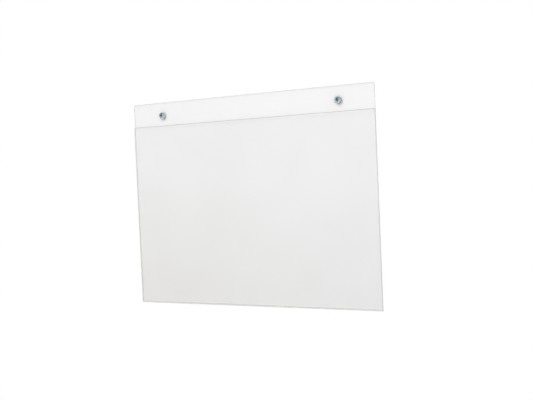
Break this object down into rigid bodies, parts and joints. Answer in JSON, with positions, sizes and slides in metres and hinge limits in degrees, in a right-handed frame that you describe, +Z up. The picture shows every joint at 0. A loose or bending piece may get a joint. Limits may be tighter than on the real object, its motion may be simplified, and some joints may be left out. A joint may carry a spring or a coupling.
{
  "type": "wall-mounted clear pocket panel",
  "caption": "Clear plastic sheet folded into a flat landscape pocket, open at the top and ends, screwed to a wall through the strip above the pocket.",
  "frame": {"origin": "on the panel's back face, midway between the two screw holes", "axes": "+X along the panel's width, to the right as seen from the front; +Y out of the back face, into the wall; +Z up"},
  "size_m": [0.3, 0.035, 0.2375],
  "materials": {
    "clear_plastic": "clear, polished faces with dull cut edges",
    "zinc_plated_steel": "bright blue-white zinc plate"
  },
  "bodies": {
    "root": {"panel_back": "clear_plastic", "panel_fold": "clear_plastic", "panel_front": "clear_plastic", "screw_left": "zinc_plated_steel", "screw_right": "zinc_plated_steel"}
  },
  "joints": []
}
